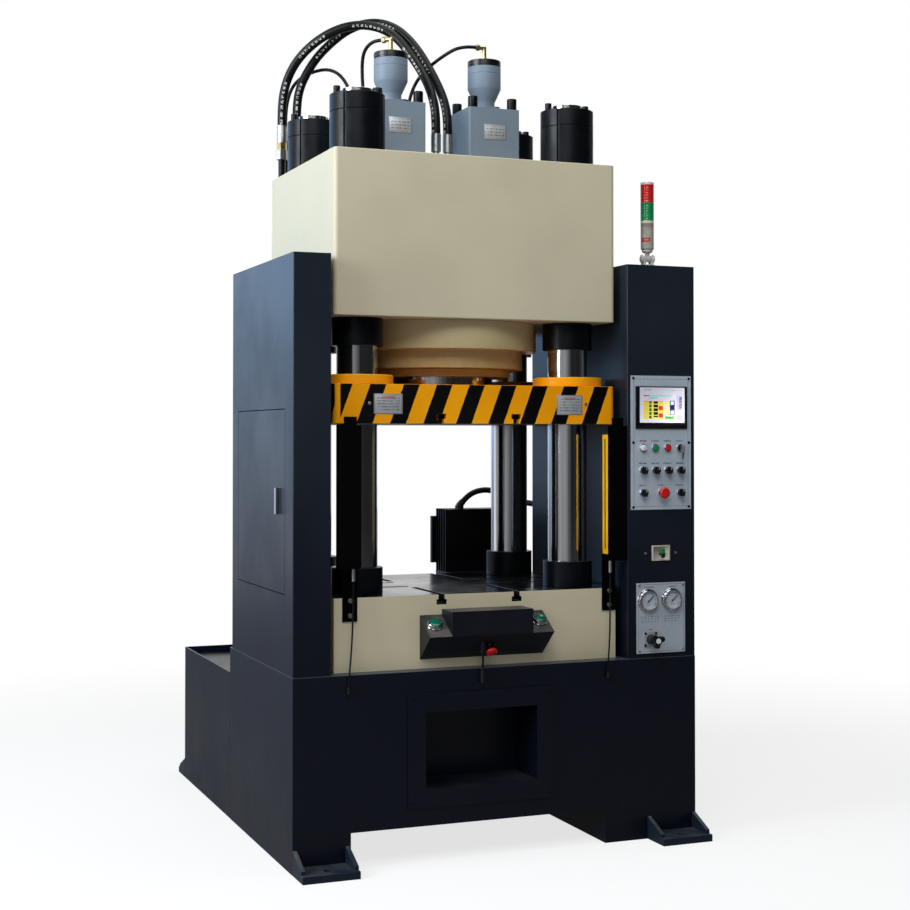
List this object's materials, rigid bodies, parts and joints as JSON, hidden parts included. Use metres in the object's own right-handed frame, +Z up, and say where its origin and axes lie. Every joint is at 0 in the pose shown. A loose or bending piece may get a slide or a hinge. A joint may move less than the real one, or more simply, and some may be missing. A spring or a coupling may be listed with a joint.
{
  "type": "hydraulic press",
  "caption": "Four-column hydraulic press with hazard-striped slide, chrome guide columns, side control cabinets, light curtain posts and a rear oil tank with servo pump.",
  "frame": {"origin": "on the floor at the centre of the rectangle of anchor holes in the feet", "axes": "+Z up, +X to the right of a person facing the control panel, the front faces -Y"},
  "size_m": [1.522, 1.878, 3.0241],
  "materials": {
    "cream_paint": "semi gloss cream enamel",
    "navy_paint": "gloss dark blue enamel",
    "chrome_plate": "hard chrome, polished",
    "black_steel": "black oxide, satin",
    "blued_steel": "blue grey phosphate",
    "zinc_steel": "zinc plated",
    "brass_fitting": "turned brass",
    "black_rubber": "matte",
    "black_plastic": "matte",
    "grey_plastic": "matte",
    "green_plastic": "gloss",
    "red_plastic": "gloss",
    "yellow_paint": "gloss yellow enamel",
    "panel_grey": "satin light grey"
  },
  "bodies": {
    "frame": {"bar_brackets": "black_steel", "base_frame": "navy_paint", "bed": "cream_paint", "box_cable": "black_rubber", "cabinet_left": "navy_paint", "cabinet_right": "navy_paint", "cable_glands": "zinc_steel", "cap_screws": "black_steel", "column_collars": "black_steel", "column_nuts": "black_steel", "columns": "chrome_plate", "control_panel": "panel_grey", "crown": "cream_paint", "cylinder": "cream_paint", "foot_brackets": "navy_paint", "gauge_fittings": "zinc_steel", "gauge_panel": "panel_grey", "hand_box": "black_steel", "hose_fittings": "zinc_steel", "hose_inner": "black_rubber", "hose_outer": "black_rubber", "light_bars": "yellow_paint", "motor_cable": "black_rubber", "motor_pump": "black_steel", "pilot_hose_left": "black_rubber", "pilot_hose_rear": "black_rubber", "pilot_hose_right": "black_rubber", "recess_tray": "navy_paint", "sensor_cables": "black_rubber", "switch_bodies": "zinc_steel", "tank": "navy_paint", "tank_lid": "navy_paint", "touch_panel": "black_plastic", "tower_base": "grey_plastic", "valve_blocks": "blued_steel", "valve_cups": "blued_steel"},
    "slide": {"slide": "yellow_paint", "ram": "chrome_plate", "guide_bushes": "yellow_paint"},
    "door_left": {"door_left": "navy_paint"},
    "door_left_handle": {"door_left_handle": "zinc_steel"},
    "door_right": {"door_right": "navy_paint"},
    "push_green": {"push_green": "green_plastic"},
    "push_red": {"push_red": "red_plastic"},
    "key_switch": {"key_switch": "zinc_steel"},
    "selector_1": {"selector_1": "black_plastic"},
    "selector_2": {"selector_2": "black_plastic"},
    "selector_3": {"selector_3": "black_plastic"},
    "selector_4": {"selector_4": "black_plastic"},
    "selector_5": {"selector_5": "black_plastic"},
    "selector_6": {"selector_6": "black_plastic"},
    "panel_estop": {"panel_estop": "red_plastic"},
    "isolator_lever": {"isolator_lever": "black_plastic"},
    "gauge_pointer_left": {"gauge_pointer_left": "black_plastic"},
    "gauge_pointer_right": {"gauge_pointer_right": "black_plastic"},
    "hand_valve_handle": {"hand_valve_handle": "black_plastic"},
    "tower_light": {"tower_light": "grey_plastic"},
    "palm_button_left": {"palm_button_left": "green_plastic"},
    "palm_button_right": {"palm_button_right": "green_plastic"},
    "box_estop": {"box_estop": "red_plastic"}
  },
  "joints": [
    {"name": "slide_travel", "type": "slide", "parent": "frame", "child": "slide", "axis": [0, 0, -1], "range_m": [0, 0.4]},
    {"name": "door_left_swing", "type": "hinge", "parent": "frame", "child": "door_left", "pos_m": [-0.744, -0.097, 1.2], "axis": [0, 0, -1], "range_deg": [0, 110]},
    {"name": "door_left_latch", "type": "hinge", "parent": "door_left", "child": "door_left_handle", "pos_m": [-0.75, -0.637, 1.245], "axis": [1, 0, 0], "range_deg": [0, 90]},
    {"name": "door_right_swing", "type": "hinge", "parent": "frame", "child": "door_right", "pos_m": [0.744, -0.097, 1.3], "axis": [0, 0, 1], "range_deg": [0, 110]},
    {"name": "push_green_travel", "type": "slide", "parent": "frame", "child": "push_green", "axis": [0, 1, 0], "range_m": [0, 0.004], "stiffness_N_per_m": 900, "springref_m": -0.002},
    {"name": "push_red_travel", "type": "slide", "parent": "frame", "child": "push_red", "axis": [0, 1, 0], "range_m": [0, 0.004], "stiffness_N_per_m": 900, "springref_m": -0.002},
    {"name": "key_turn", "type": "hinge", "parent": "frame", "child": "key_switch", "pos_m": [0.687, -0.822, 1.388], "axis": [0, 1, 0], "range_deg": [0, 90]},
    {"name": "selector_1_turn", "type": "hinge", "parent": "frame", "child": "selector_1", "pos_m": [0.537, -0.822, 1.308], "axis": [0, 1, 0], "range_deg": [-45, 45]},
    {"name": "selector_2_turn", "type": "hinge", "parent": "frame", "child": "selector_2", "pos_m": [0.587, -0.822, 1.308], "axis": [0, 1, 0], "range_deg": [-45, 45]},
    {"name": "selector_3_turn", "type": "hinge", "parent": "frame", "child": "selector_3", "pos_m": [0.637, -0.822, 1.308], "axis": [0, 1, 0], "range_deg": [-45, 45]},
    {"name": "selector_4_turn", "type": "hinge", "parent": "frame", "child": "selector_4", "pos_m": [0.687, -0.822, 1.308], "axis": [0, 1, 0], "range_deg": [-45, 45]},
    {"name": "selector_5_turn", "type": "hinge", "parent": "frame", "child": "selector_5", "pos_m": [0.537, -0.822, 1.228], "axis": [0, 1, 0], "range_deg": [-45, 45]},
    {"name": "selector_6_turn", "type": "hinge", "parent": "frame", "child": "selector_6", "pos_m": [0.687, -0.822, 1.228], "axis": [0, 1, 0], "range_deg": [-45, 45]},
    {"name": "panel_estop_travel", "type": "slide", "parent": "frame", "child": "panel_estop", "axis": [0, 1, 0], "range_m": [0, 0.004], "stiffness_N_per_m": 900, "springref_m": -0.002},
    {"name": "isolator_rock", "type": "hinge", "parent": "frame", "child": "isolator_lever", "pos_m": [0.61, -0.82, 1.0125], "axis": [1, 0, 0], "range_deg": [-12, 12]},
    {"name": "gauge_left_needle", "type": "hinge", "parent": "frame", "child": "gauge_pointer_left", "pos_m": [0.557, -0.822, 0.844], "axis": [0, 1, 0], "range_deg": [-180, 90]},
    {"name": "gauge_right_needle", "type": "hinge", "parent": "frame", "child": "gauge_pointer_right", "pos_m": [0.653, -0.822, 0.844], "axis": [0, 1, 0], "range_deg": [-180, 90]},
    {"name": "hand_valve_turn", "type": "hinge", "parent": "frame", "child": "hand_valve_handle", "pos_m": [0.566, -0.822, 0.707], "axis": [0, 1, 0], "range_deg": [-90, 90]},
    {"name": "tower_tilt", "type": "hinge", "parent": "frame", "child": "tower_light", "pos_m": [0.614, -0.717, 2.076], "axis": [1, 0, 0], "range_deg": [-15, 15]},
    {"name": "palm_left_travel", "type": "slide", "parent": "frame", "child": "palm_button_left", "axis": [0, 0.5315, -0.8471], "range_m": [0, 0.004], "stiffness_N_per_m": 900, "springref_m": -0.002},
    {"name": "palm_right_travel", "type": "slide", "parent": "frame", "child": "palm_button_right", "axis": [0, 0.5315, -0.8471], "range_m": [0, 0.004], "stiffness_N_per_m": 900, "springref_m": -0.002},
    {"name": "box_estop_travel", "type": "slide", "parent": "frame", "child": "box_estop", "axis": [0, 0.6445, 0.7646], "range_m": [0, 0.004], "stiffness_N_per_m": 900, "springref_m": -0.002}
  ]
}
